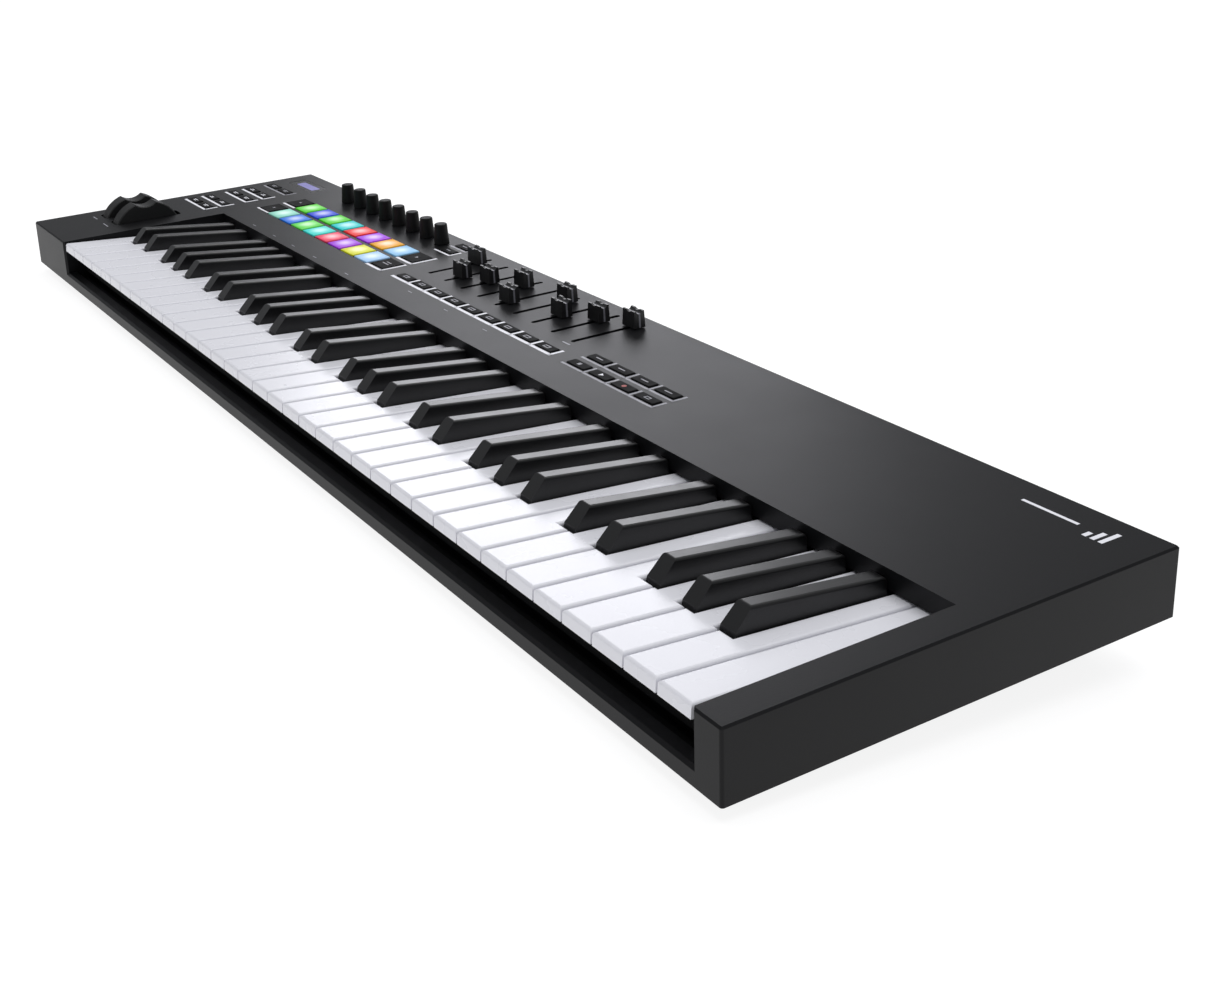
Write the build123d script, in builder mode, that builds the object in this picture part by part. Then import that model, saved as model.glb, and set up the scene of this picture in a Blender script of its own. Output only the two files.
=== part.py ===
"""Synthesizer keyboard controller with 61 keys, pads, knobs, faders and two wheels.

The case is a flat slab that leans towards the player, while the keys stay level.
Millimetres, +X to the player's right, +Y away from the player, +Z up.
The origin is the centre of the whole keyboard, at the surface it stands on.
"""
from build123d import *
from math import cos, radians, sin
import os

os.makedirs("parts", exist_ok=True)

# ---------------------------------------------------------------- keys
WHITE_PITCH = 23.5           # distance from one white key to the next
WHITES = 36                  # five octaves and the top C
OCTAVES = 5
OCTAVE = 7 * WHITE_PITCH
KEY_SPAN = WHITES * WHITE_PITCH
KEY_GAP = 1.3                # air between two white keys
BLACK_WIDTH = 11.0           # at the foot of a black key
BLACK_CENTRES = (21.2, 49.3, 90.6, 117.5, 144.4)   # from the left edge of the octave's C
BLACK_CLEARANCE = 1.0        # air between a black key and the white ones beside it

# ---------------------------------------------------------------- case
LEFT_BLOCK = 86.0            # case to the left of the keys, with the wheels
RIGHT_CHEEK = 20.0
WIDTH = LEFT_BLOCK + KEY_SPAN + RIGHT_CHEEK
DEPTH = 258.5
SLAB = 35.6                  # thickness of the slab
TILT = radians(4.5)          # how far the slab leans towards the player
CLEARANCE = 7.0              # front lower edge above the table
WALL = 2.5
LIP = 9.0                    # height of the front lip under the keys
LIP_DEPTH = 8.0
OPENING_REAR = 139.0         # the panel starts here, behind the visible keys
SIDE_GAP = 1.5               # air between the end keys and the case
SKIN_GAP = 0.15              # air between the two case halves
FOOT_HEIGHT = 3.5

# ---------------------------------------------------------------- places
KEY_LEFT = -WIDTH / 2 + LEFT_BLOCK                 # left edge of the first white key
FRONT_Y = -(DEPTH * cos(TILT) - SLAB * sin(TILT)) / 2
DECK = Plane(
    origin=(0, FRONT_Y, CLEARANCE), x_dir=(1, 0, 0), z_dir=(0, -sin(TILT), cos(TILT))
)                                                  # underside of the slab, y from its front
INNER_TOP = SLAB - WALL                            # underside of the panel, above DECK
BAY_LEFT = KEY_LEFT - SIDE_GAP
BAY_RIGHT = KEY_LEFT + KEY_SPAN + SIDE_GAP
BAY_CENTRE = (BAY_LEFT + BAY_RIGHT) / 2
BAY_WIDTH = BAY_RIGHT - BAY_LEFT
REAR = Plane(
    origin=DECK.from_local_coords((0, DEPTH, 0)), x_dir=(-1, 0, 0), z_dir=DECK.y_dir
)                                                  # outer face of the rear wall

# ---------------------------------------------------------------- control panel layout
GRID = 24.1                  # column pitch of pads, knobs and faders
FIRST_COLUMN = 36.3          # first pad column, from the left edge of the first key
FIRST_FADER = 269.8
FIRST_TRANSPORT = 502.0
TRANSPORT_PITCH = 23.8
MODE_COLUMNS = (-62.0, -37.0)
MODE_ROWS = (136.3, 151.6, 174.0, 190.3, 211.3)
PAD_SIZE = (22.4, 21.2)
PAD_ROWS = (178.8, 203.8)
PAD_BUTTON_SIZE = (20.0, 18.0)
PAD_BUTTON_ROWS = (179.8, 204.6)
SMALL_BUTTON = (19.0, 7.6)
KNOB_BUTTON_ROWS = (232.6, 246.8)
FADER_BUTTON_ROW = 175.0
TRANSPORT_ROWS = (173.8, 188.4)
KNOB_ROW = 239.2
FADER_SLOT = (3.8, 53.6)     # width, length
FADER_MIDDLE = 219.8         # middle of the slots
FADER_TRAVEL = 45.0
# where each cap stands, from the front end of its travel
FADER_PLACES = (37.0, 11.0, 19.7, 33.8, 7.5, 39.2, 19.2, 32.8, 44.0)
DISPLAY_CENTRE = (-43.0, 236.0)
DISPLAY_WINDOW = (48.0, 17.0)
WHEEL_COLUMNS = (-61.0, -33.0)
WHEEL_ROW = 80.0

PLAY = 0.35                  # air round a button or pad in its hole
PAD_RISE = 1.2               # pad above the panel
BUTTON_RISE = 0.8
BOARD_TOP = SLAB - 10.0      # upper face of the control board, above DECK
BOARD = 1.6                  # thickness of a circuit board

COLUMNS = [KEY_LEFT + FIRST_COLUMN + GRID * i for i in range(8)]
BUTTON_COLUMNS = (KEY_LEFT + FIRST_COLUMN - GRID, KEY_LEFT + FIRST_COLUMN + GRID * 8)
FADERS = [KEY_LEFT + FIRST_FADER + GRID * i for i in range(9)]
TRANSPORT = [KEY_LEFT + FIRST_TRANSPORT + TRANSPORT_PITCH * i for i in range(4)]
MODES = [KEY_LEFT + x for x in MODE_COLUMNS]
WHEELS = [KEY_LEFT + x for x in WHEEL_COLUMNS]
DISPLAY = (KEY_LEFT + DISPLAY_CENTRE[0], DISPLAY_CENTRE[1])

PAD_PLACES = [(x, y) for y in PAD_ROWS for x in COLUMNS]
MODE_PLACES = [(x, y) for y in MODE_ROWS for x in MODES]
PAD_BUTTON_PLACES = [(x, y) for y in PAD_BUTTON_ROWS for x in BUTTON_COLUMNS]
KNOB_BUTTON_PLACES = [(BUTTON_COLUMNS[1] - 1.0, y) for y in KNOB_BUTTON_ROWS]
FADER_BUTTON_PLACES = [(x, FADER_BUTTON_ROW) for x in FADERS]
TRANSPORT_PLACES = [(x, y) for y in TRANSPORT_ROWS for x in TRANSPORT]
SMALL_PLACES = MODE_PLACES + KNOB_BUTTON_PLACES + FADER_BUTTON_PLACES + TRANSPORT_PLACES

# ---------------------------------------------------------------- key mechanism (level)
WHITE_TOP = CLEARANCE + SLAB * cos(TILT) - 0.6     # just below the cheek at the front
KEY_FRONT = FRONT_Y - 1.0
KEY_HEIGHT = 6.6
KEY_WALL = 1.6
KEY_TOP = 2.2                # thickness of a key's upper skin
HEAD_LENGTH = 49.0           # full-width part of a white key
BLACK_FRONT = FRONT_Y + 50.0
BLACK_RISE = 11.0            # black key above the white ones, at its front
BLACK_SLANT = 8.6            # how far its front face leans back
BLACK_REAR = FRONT_Y + 135.4
KEY_EDGE = 1.7               # rounding of the white keys' upper edges
BLACK_REAR_RISE = 7.6
PIVOT_Y = FRONT_Y + 205.0
PIVOT_Z = WHITE_TOP - 5.0
SHANK_END = PIVOT_Y - 12.0   # past this a key narrows to its bearing tongue
TONGUE = 8.0
BEARING = 4.0                # outer radius of a key's bearing
ROD = 2.0                    # radius of the pivot rod
RUNNING = 0.05               # radial clearance of a running fit
BAR_START = 5.4              # comb bars lie this far behind the rod
BAR_DEPTH = 6.0
BAR_HEIGHT = 2.6
BAR_LEVELS = {"naturals_c": 2.3, "naturals_d": -1.3, "sharps": -4.9}   # bar's underside
FRAME_Z = 17.0               # underside of the keybed frame
FRAME = 2.0                  # its thickness
FRAME_FRONT = FRONT_Y + 15.0
FRAME_REAR = FRONT_Y + 222.0
LUG = 3.0


def write(part, name):
    """Label one finished piece and save it."""
    part.part.label = name
    export_step(part.part, f"parts/{name}.step")


# ---------------------------------------------------------------- case, upper half
SOCKETS = {"usb": (KEY_LEFT - 40, 13.0), "jack": (KEY_LEFT + 10, 15.0), "midi": (KEY_LEFT + 50, 16.0)}
USB_BODY = (12.0, 11.0)
JACK_BUSH = 5.6              # radius of the pedal jack's nose
JACK_BORE = 3.2              # a 6.35 mm plug with clearance
MIDI_NOSE = 8.0
LOCK_SLOT = (7.0, 3.2)
WELL = (16.0, 58.0)
WELL_SHIFT = 1.0             # the wells reach further back than forward
KNOB_HOLE = 4.2
EDGE = 1.0                   # chamfer round the panel
OPENING_EDGE = 1.6           # chamfer round the front opening
RECESS = 1.0                 # depth of the display's recess
SKIRT = (2.0, 25.0)          # wall behind the visible keys: thickness, its lower edge
REAR_SCREWS = [(x, 250.0) for x in (-466, -230, 12.3, 230, 466)]
LONG_SCREWS = REAR_SCREWS + [(-466, 8.2), (466, 8.2)]
LIP_SCREWS = [(x, 4.8) for x in (-330, -110, 110, 330)]
LONG_SCREW = 12.0            # lengths under the head
LIP_SCREW = 6.0
SCREW = 1.5
BOSS = 3.6
LIP_BOSS = 2.4
WELLS = [(x, WHEEL_ROW + WELL_SHIFT) for x in WHEELS]


def round_front_opening(edge):
    """True for the edges of the key opening that lie in the case's front face."""
    middle = DECK.to_local_coords(edge.center())
    on_front = abs(middle.Y) < 0.01
    inside = BAY_LEFT - 0.1 < middle.X < BAY_RIGHT + 0.1
    return on_front and inside and LIP - 0.1 < middle.Z < SLAB - 2 * EDGE


with BuildPart() as top_case:
    with BuildSketch(DECK):
        Rectangle(WIDTH, DEPTH, align=(Align.CENTER, Align.MIN))
    extrude(amount=SLAB)
    fillet(top_case.edges().filter_by(Axis(DECK.origin, DECK.z_dir)), 1.5)
    chamfer(top_case.faces().sort_by(Axis(DECK.origin, DECK.z_dir))[-1].edges(), EDGE)
    # inside of the left block, of the right cheek and of the bay with the space behind it
    with BuildSketch(DECK):
        left = -WIDTH / 2 + WALL
        with Locations((left, WALL)):
            Rectangle(BAY_LEFT - WALL - left, DEPTH - 2 * WALL, align=Align.MIN)
        with Locations((BAY_RIGHT + WALL, WALL)):
            Rectangle(RIGHT_CHEEK - SIDE_GAP - 2 * WALL, DEPTH - 2 * WALL, align=Align.MIN)
        with Locations((BAY_LEFT, LIP_DEPTH)):
            Rectangle(BAY_WIDTH, DEPTH - WALL - LIP_DEPTH, align=Align.MIN)
        with Locations((0, OPENING_REAR + WALL)):
            Rectangle(WIDTH - 2 * WALL, DEPTH - 2 * WALL - OPENING_REAR, align=(Align.CENTER, Align.MIN))
    extrude(amount=INNER_TOP, mode=Mode.SUBTRACT)
    # the opening over the keys, open at the front above the lip
    with BuildSketch(DECK.offset(LIP)):
        with Locations((BAY_CENTRE, -5)):
            Rectangle(BAY_WIDTH, OPENING_REAR + 5, align=(Align.CENTER, Align.MIN))
    extrude(amount=SLAB, mode=Mode.SUBTRACT)
    with BuildSketch(DECK):
        with Locations((BAY_CENTRE, WALL)):
            Rectangle(BAY_WIDTH, LIP_DEPTH, align=(Align.CENTER, Align.MIN))
    extrude(amount=LIP - WALL, mode=Mode.SUBTRACT)
    # room for the floor plate of the lower half
    with BuildSketch(DECK):
        with Locations((0, WALL)):
            Rectangle(WIDTH - 2 * WALL, DEPTH - 2 * WALL, align=(Align.CENTER, Align.MIN))
    extrude(amount=WALL + SKIN_GAP, mode=Mode.SUBTRACT)
    chamfer(top_case.edges().filter_by(round_front_opening), OPENING_EDGE)
    # holes in the panel
    with BuildSketch(DECK.offset(INNER_TOP - 1)):
        with Locations(*PAD_PLACES):
            Rectangle(PAD_SIZE[0] + 2 * PLAY, PAD_SIZE[1] + 2 * PLAY)
        with Locations(*PAD_BUTTON_PLACES):
            Rectangle(PAD_BUTTON_SIZE[0] + 2 * PLAY, PAD_BUTTON_SIZE[1] + 2 * PLAY)
        with Locations(*SMALL_PLACES):
            Rectangle(SMALL_BUTTON[0] + 2 * PLAY, SMALL_BUTTON[1] + 2 * PLAY)
        with Locations(*[(x, FADER_MIDDLE) for x in FADERS]):
            SlotOverall(FADER_SLOT[1], FADER_SLOT[0], rotation=90)
        with Locations(*[(x, KNOB_ROW) for x in COLUMNS]):
            Circle(KNOB_HOLE)
        with Locations(*WELLS):
            RectangleRounded(WELL[0], WELL[1], 3.0)
    extrude(amount=SLAB, mode=Mode.SUBTRACT)
    with BuildSketch(DECK.offset(SLAB - RECESS)):
        with Locations(DISPLAY):
            RectangleRounded(DISPLAY_WINDOW[0] + 0.4, DISPLAY_WINDOW[1] + 0.4, 1.2)
    extrude(amount=SLAB, mode=Mode.SUBTRACT)
    with BuildSketch(DECK.offset(INNER_TOP - 1)):
        with Locations(DISPLAY):
            Rectangle(DISPLAY_WINDOW[0] - 6, DISPLAY_WINDOW[1] - 4)
    extrude(amount=SLAB, mode=Mode.SUBTRACT)
    # the wall that hangs from the panel behind the visible keys
    with BuildSketch(DECK.offset(SKIRT[1])):
        with Locations((BAY_CENTRE, OPENING_REAR)):
            Rectangle(BAY_WIDTH, SKIRT[0], align=(Align.CENTER, Align.MIN))
    extrude(amount=INNER_TOP - SKIRT[1] + 0.5)
    # sockets and lock slot in the rear wall
    with BuildSketch(REAR.offset(-WALL - 1)):
        with Locations((-SOCKETS["usb"][0], SOCKETS["usb"][1])):
            Rectangle(USB_BODY[0] + 0.4, USB_BODY[1] + 0.4)
        with Locations((-SOCKETS["jack"][0], SOCKETS["jack"][1])):
            Circle(JACK_BUSH + 0.2)
        with Locations((-SOCKETS["midi"][0], SOCKETS["midi"][1])):
            Circle(MIDI_NOSE + 0.2)
        with Locations((-(KEY_LEFT + 100), 14.0)):
            Rectangle(*LOCK_SLOT)
    extrude(amount=WALL + 2, mode=Mode.SUBTRACT)
    # screw bosses, long ones under the panel and short ones in the lip
    with BuildSketch(DECK.offset(WALL + SKIN_GAP)):
        with Locations(*LONG_SCREWS):
            Circle(BOSS)
    extrude(amount=INNER_TOP - WALL - SKIN_GAP + 0.5)
    with BuildSketch(DECK.offset(WALL + SKIN_GAP)):
        with Locations(*LIP_SCREWS):
            Circle(LIP_BOSS)
    extrude(amount=LIP - WALL - 0.6)
    for places, depth in ((LONG_SCREWS, LONG_SCREW), (LIP_SCREWS, LIP_SCREW)):
        with BuildSketch(DECK.offset(WALL)):
            with Locations(*places):
                Circle(SCREW)
        extrude(amount=depth - WALL, mode=Mode.SUBTRACT)
write(top_case, "top_case")

# ---------------------------------------------------------------- case, lower half
PAN_RIM = (-473.0, 473.0, 14.0, 244.0)   # left, right, front and rear where it leaves the slab
PAN_FLOOR = (-462.0, 445.0, 22.0, 240.0) # the same at its floor, wider under the wheels
PAN_SKIN = 2.5
POSTS = [(x, y) for x in (-380, -216, -52, 112, 276, 430) for y in (42, 190)]
STANDOFFS = [(KEY_LEFT + x, 249.0) for x in (-58, -15, 30, 74)]
STANDOFF_TOP = 5.2


def pan_outline(left, right, front, rear, inset):
    """A rectangle of the pan, seen from above, drawn in the current sketch."""
    with Locations((left + inset, front + inset)):
        Rectangle(right - left - 2 * inset, rear - front - 2 * inset, align=Align.MIN)


def ground(height):
    """A level plane whose y is measured from the front of the case, like DECK's."""
    return Plane(origin=(0, FRONT_Y, height))


with BuildPart() as bottom_case:
    with BuildSketch(DECK):
        pan_outline(*PAN_RIM, 0)
    with BuildSketch(ground(FOOT_HEIGHT)):
        pan_outline(*PAN_FLOOR, 0)
    loft()
    with BuildSketch(DECK):
        edge = WALL + SKIN_GAP
        with Locations((0, edge)):
            Rectangle(WIDTH - 2 * edge, DEPTH - 2 * edge, align=(Align.CENTER, Align.MIN))
    extrude(amount=WALL)
    with BuildSketch(DECK.offset(WALL)):
        pan_outline(*PAN_RIM, PAN_SKIN)
    with BuildSketch(ground(FOOT_HEIGHT + PAN_SKIN)):
        pan_outline(*PAN_FLOOR, PAN_SKIN)
    loft(mode=Mode.SUBTRACT)
    with BuildSketch(ground(FOOT_HEIGHT + 1)):
        with Locations(*POSTS):
            Circle(5.0)
    extrude(amount=FRAME_Z - FOOT_HEIGHT - 1)
    with BuildSketch(DECK.offset(1)):
        with Locations(*STANDOFFS):
            Circle(2.6)
    extrude(amount=STANDOFF_TOP - 1)
    with BuildSketch(DECK):
        with Locations(*LONG_SCREWS, *LIP_SCREWS):
            Circle(SCREW + 0.2)
    extrude(amount=WALL + 1, mode=Mode.SUBTRACT)
write(bottom_case, "bottom_case")

FEET = [(x, y) for x in (-425, 0, 425) for y in (36, 228)]
with BuildPart() as rubber_feet:
    with BuildSketch(ground(0)):
        with Locations(*FEET):
            Circle(8.0)
    extrude(amount=FOOT_HEIGHT)
    chamfer(rubber_feet.edges().group_by(Axis.Z)[0], 0.6)
write(rubber_feet, "rubber_feet")

HEAD = (2.7, 1.2)            # screw head: radius, height
with BuildPart() as case_screws:
    with BuildSketch(DECK.offset(-HEAD[1])):
        with Locations(*LONG_SCREWS, *LIP_SCREWS):
            Circle(HEAD[0])
    extrude(amount=HEAD[1])
    for places, length in ((LONG_SCREWS, LONG_SCREW), (LIP_SCREWS, LIP_SCREW)):
        with BuildSketch(DECK):
            with Locations(*places):
                Circle(SCREW)
        extrude(amount=length)
write(case_screws, "case_screws")

# ---------------------------------------------------------------- keybed
RAIL = (6.0, 3.5)            # front stop rail: depth, height
FELT = 1.2
BLACK_STOP_Y = FRONT_Y + 66.0
CONTACT_Y = FRONT_Y + 108.0
CONTACT_DEPTH = 34.0
DOME = (3.6, 7.2)            # rubber dome: radius, height
FRAME_TOP = FRAME_Z + FRAME
LUG_PLACES = [KEY_LEFT + LUG / 2 - SIDE_GAP + 0.2] + [KEY_LEFT + OCTAVE * i for i in range(1, 6)] + [
    KEY_LEFT + KEY_SPAN - LUG / 2 + 0.9
]


def side(x):
    """A plane across the keyboard at x, whose sketches are drawn in world Y and Z."""
    return Plane.YZ.offset(x)


with BuildPart() as keybed_frame:
    with BuildSketch(Plane.XY.offset(FRAME_Z)):
        with Locations((BAY_CENTRE, FRAME_FRONT)):
            Rectangle(BAY_WIDTH - 0.6, FRAME_REAR - FRAME_FRONT, align=(Align.CENTER, Align.MIN))
    extrude(amount=FRAME)
    with BuildSketch(Plane.XY.offset(FRAME_Z)):
        with Locations((BAY_CENTRE, FRAME_FRONT)):
            Rectangle(BAY_WIDTH - 0.6, RAIL[0], align=(Align.CENTER, Align.MIN))
    extrude(amount=FRAME + RAIL[1])
    for x in LUG_PLACES:
        with BuildSketch(side(x)):
            with Locations((PIVOT_Y, FRAME_Z)):
                Rectangle(9, PIVOT_Z - FRAME_Z, align=(Align.CENTER, Align.MIN))
            with Locations((PIVOT_Y, PIVOT_Z)):
                Circle(4.5)
        extrude(amount=LUG / 2, both=True)
    with BuildSketch(side(BAY_LEFT)):
        with Locations((PIVOT_Y, PIVOT_Z)):
            Circle(ROD)
    extrude(amount=BAY_WIDTH, mode=Mode.SUBTRACT)
write(keybed_frame, "keybed_frame")

with BuildPart() as key_pivot_rod:
    with BuildSketch(side(BAY_LEFT + 0.4)):
        with Locations((PIVOT_Y, PIVOT_Z)):
            Circle(ROD)
    extrude(amount=BAY_WIDTH - 0.8)
write(key_pivot_rod, "key_pivot_rod")

with BuildPart() as key_felts:
    for y, z, depth in ((FRAME_FRONT, FRAME_TOP + RAIL[1], RAIL[0]), (BLACK_STOP_Y, FRAME_TOP, 10.0)):
        with BuildSketch(Plane.XY.offset(z)):
            with Locations((BAY_CENTRE, y)):
                Rectangle(BAY_WIDTH - 2, depth, align=(Align.CENTER, Align.MIN))
        extrude(amount=FELT)
write(key_felts, "key_felts")

with BuildPart() as key_contact_board:
    with BuildSketch(Plane.XY.offset(FRAME_TOP)):
        with Locations((BAY_CENTRE, CONTACT_Y)):
            Rectangle(BAY_WIDTH - 6, CONTACT_DEPTH)
    extrude(amount=BOARD)
write(key_contact_board, "key_contact_board")


def tongue_centres(octave):
    """Where each key of an octave meets the pivot rod: seven naturals, then five sharps."""
    left = KEY_LEFT + OCTAVE * octave
    gap = BLACK_WIDTH / 2 + BLACK_CLEARANCE
    c, d, f, g, a = BLACK_CENTRES
    edges = (
        (KEY_GAP / 2, c - gap), (c + gap, d - gap), (d + gap, 3 * WHITE_PITCH - KEY_GAP / 2),
        (3 * WHITE_PITCH + KEY_GAP / 2, f - gap), (f + gap, g - gap), (g + gap, a - gap),
        (a + gap, OCTAVE - KEY_GAP / 2),
    )
    naturals = [(left + low, left + high) for low, high in edges]
    sharps = [left + x for x in BLACK_CENTRES]
    return naturals, sharps


KEY_PLACES = [tongue_centres(i) for i in range(OCTAVES)]
DOME_PLACES = [sum(n) / 2 for naturals, _ in KEY_PLACES for n in naturals]
DOME_PLACES += [x for _, sharps in KEY_PLACES for x in sharps]
DOME_PLACES += [KEY_LEFT + KEY_SPAN - WHITE_PITCH / 2]
with BuildPart() as contact_domes:
    with BuildSketch(Plane.XY.offset(FRAME_TOP + BOARD)):
        with Locations((BAY_CENTRE, CONTACT_Y)):
            Rectangle(BAY_WIDTH - 12, CONTACT_DEPTH - 10)
    extrude(amount=0.8)
    with BuildSketch(Plane.XY.offset(FRAME_TOP + BOARD)):
        with Locations(*[(x, CONTACT_Y) for x in DOME_PLACES]):
            Circle(DOME[0])
    extrude(amount=0.8 + DOME[1], taper=8)
write(contact_domes, "contact_domes")

# ---------------------------------------------------------------- keys
# The keys of one octave are three comb mouldings, as in the real keybed: C, E, G and B,
# then D, F and A, then the sharps. Each comb has its own bar behind the pivot rod.


def white_head(index, octave):
    """Left and right side of the full-width front part of a white key."""
    left = KEY_LEFT + OCTAVE * octave + WHITE_PITCH * index
    return left + KEY_GAP / 2, left + WHITE_PITCH - KEY_GAP / 2


def span(low, high, front, rear):
    """A rectangle in plan, in the current sketch."""
    with Locations(((low + high) / 2, front)):
        Rectangle(high - low, rear - front, align=(Align.CENTER, Align.MIN))


def add_tongues(middles, level):
    """Bearing tongues round the pivot rod and the bar that joins them behind it."""
    for middle in middles:
        with BuildSketch(side(middle)) as tongue:
            with Locations((SHANK_END - 3, PIVOT_Z - 3)):
                Rectangle(PIVOT_Y - SHANK_END + 3, WHITE_TOP - PIVOT_Z + 3 - 1, align=Align.MIN)
            with Locations((PIVOT_Y, PIVOT_Z)):
                Circle(BEARING)
            with Locations((PIVOT_Y, PIVOT_Z + level)):
                Rectangle(BAR_START + BAR_DEPTH, BAR_HEIGHT, align=Align.MIN)
        extrude(tongue.sketch, amount=TONGUE / 2, both=True)
    if len(middles) > 1:
        with BuildSketch(Plane.XY.offset(PIVOT_Z + level)) as bar:
            span(middles[0], middles[-1], PIVOT_Y + BAR_START, PIVOT_Y + BAR_START + BAR_DEPTH)
        extrude(bar.sketch, amount=BAR_HEIGHT)


def bore_for_rod(middles):
    """The bearing holes, cut through every tongue of a comb."""
    with BuildSketch(side(middles[0] - TONGUE)) as bore:
        with Locations((PIVOT_Y, PIVOT_Z)):
            Circle(ROD + RUNNING)
    extrude(bore.sketch, amount=middles[-1] - middles[0] + 2 * TONGUE, mode=Mode.SUBTRACT)


def naturals(name, level, heads, shanks):
    """One comb of white keys, from each key's front part and the narrow part behind it."""
    middles = [(low + high) / 2 for low, high in shanks]
    with BuildPart() as comb:
        with BuildSketch(Plane.XY.offset(WHITE_TOP - KEY_HEIGHT)):
            for head, shank in zip(heads, shanks):
                span(*head, KEY_FRONT, KEY_FRONT + HEAD_LENGTH)
                span(*shank, KEY_FRONT, SHANK_END)
        extrude(amount=KEY_HEIGHT)
        fillet(comb.faces().group_by(Axis.Z)[-1].edges(), KEY_EDGE)
        with BuildSketch(Plane.XY.offset(WHITE_TOP - KEY_HEIGHT)):
            for head, shank in zip(heads, shanks):
                inner = (head[0] + KEY_WALL, head[1] - KEY_WALL)
                span(*inner, KEY_FRONT + KEY_WALL, KEY_FRONT + HEAD_LENGTH - KEY_WALL)
                span(shank[0] + KEY_WALL, shank[1] - KEY_WALL, KEY_FRONT + HEAD_LENGTH - 5, SHANK_END - 6)
        extrude(amount=KEY_HEIGHT - KEY_TOP, mode=Mode.SUBTRACT)
        add_tongues(middles, level)
        bore_for_rod(middles)
    write(comb, name)


def sharps_comb(name, centres):
    """The five black keys of one octave as one comb."""
    foot = WHITE_TOP - 3.0
    with BuildPart() as comb:
        with BuildSketch(Plane.XY.offset(foot)):
            for x in centres:
                span(x - BLACK_WIDTH / 2, x + BLACK_WIDTH / 2, BLACK_FRONT, BLACK_REAR)
        extrude(amount=BLACK_RISE + 5, taper=3.5)
        with BuildSketch(side(centres[0] - BLACK_WIDTH)):
            with BuildLine():
                Polyline(
                    (BLACK_FRONT, foot),
                    (BLACK_FRONT, WHITE_TOP + 0.4),
                    (BLACK_FRONT + BLACK_SLANT, WHITE_TOP + BLACK_RISE),
                    (BLACK_REAR, WHITE_TOP + BLACK_REAR_RISE),
                    (BLACK_REAR, foot),
                    close=True,
                )
            make_face()
        extrude(amount=centres[-1] - centres[0] + 2 * BLACK_WIDTH, mode=Mode.INTERSECT)
        crown = [face for face in comb.faces() if face.normal_at().Z > 0.9]
        fillet([edge for face in crown for edge in face.edges()], 1.6)
        with BuildSketch(Plane.XY.offset(WHITE_TOP - KEY_HEIGHT)):
            for x in centres:
                span(x - TONGUE / 2 - 0.5, x + TONGUE / 2 + 0.5, BLACK_FRONT + 2, SHANK_END)
        extrude(amount=KEY_HEIGHT - 1)
        add_tongues(centres, BAR_LEVELS["sharps"])
        bore_for_rod(centres)
    write(comb, name)


for octave, (white_shanks, black_centres) in enumerate(KEY_PLACES):
    number = octave + 1
    white_heads = [white_head(i, octave) for i in range(7)]
    naturals(f"keys_cegb_{number}", BAR_LEVELS["naturals_c"], white_heads[0::2], white_shanks[0::2])
    naturals(f"keys_dfa_{number}", BAR_LEVELS["naturals_d"], white_heads[1::2], white_shanks[1::2])
    sharps_comb(f"keys_sharps_{number}", black_centres)

top_head = white_head(0, OCTAVES)
naturals("key_top_c", BAR_LEVELS["naturals_c"], [top_head], [top_head])

# ---------------------------------------------------------------- wheels
WHEEL_RADIUS = 29.5
WHEEL_WIDTH = 14.0
WHEEL_AXIS = SLAB - 14.0     # height of the wheels' axis above DECK
NOTCH_RADIUS = 14.0
NOTCH_FLOOR = 25.0           # notch bottom above the axis
CUT_BELOW = 10.0             # the wheels are cut flat this far below the axis
STUB = 3.0
PLATE = 3.0                  # bracket plate thickness
PLATES = [
    WHEELS[0] - WHEEL_WIDTH / 2 - 4.5 - PLATE / 2, (WHEELS[0] + WHEELS[1]) / 2,
    WHEELS[1] + WHEEL_WIDTH / 2 + 1.6 + PLATE / 2,
]
WHEEL_SIDE = Plane(origin=DECK.origin, x_dir=DECK.y_dir, z_dir=(1, 0, 0))   # y from front, z up


def wheel(name, x, stub_left, stub_right):
    """A bend or modulation wheel: a sector with a finger notch and a stub shaft each side."""
    with BuildPart() as disc:
        with BuildSketch(WHEEL_SIDE.offset(x)):
            with Locations((WHEEL_ROW, WHEEL_AXIS)):
                Circle(WHEEL_RADIUS)
            with Locations((WHEEL_ROW, WHEEL_AXIS + NOTCH_FLOOR + NOTCH_RADIUS)):
                Circle(NOTCH_RADIUS, mode=Mode.SUBTRACT)
            with Locations((WHEEL_ROW, WHEEL_AXIS - CUT_BELOW)):
                Rectangle(
                    3 * WHEEL_RADIUS, WHEEL_RADIUS, align=(Align.CENTER, Align.MAX), mode=Mode.SUBTRACT
                )
        extrude(amount=WHEEL_WIDTH / 2, both=True)
        sides = disc.faces().filter_by(Axis.X)
        chamfer(sides.edges().filter_by(GeomType.CIRCLE), 0.8)
        with BuildSketch(WHEEL_SIDE.offset(stub_left)):
            with Locations((WHEEL_ROW, WHEEL_AXIS)):
                Circle(STUB)
        extrude(amount=stub_right - stub_left)
    write(disc, name)


wheel("pitch_wheel", WHEELS[0], PLATES[0] - PLATE / 2 - 0.5, PLATES[1] - 0.3)
wheel("mod_wheel", WHEELS[1], PLATES[1] + 0.3, PLATES[2] + PLATE / 2 + 0.5)

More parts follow.
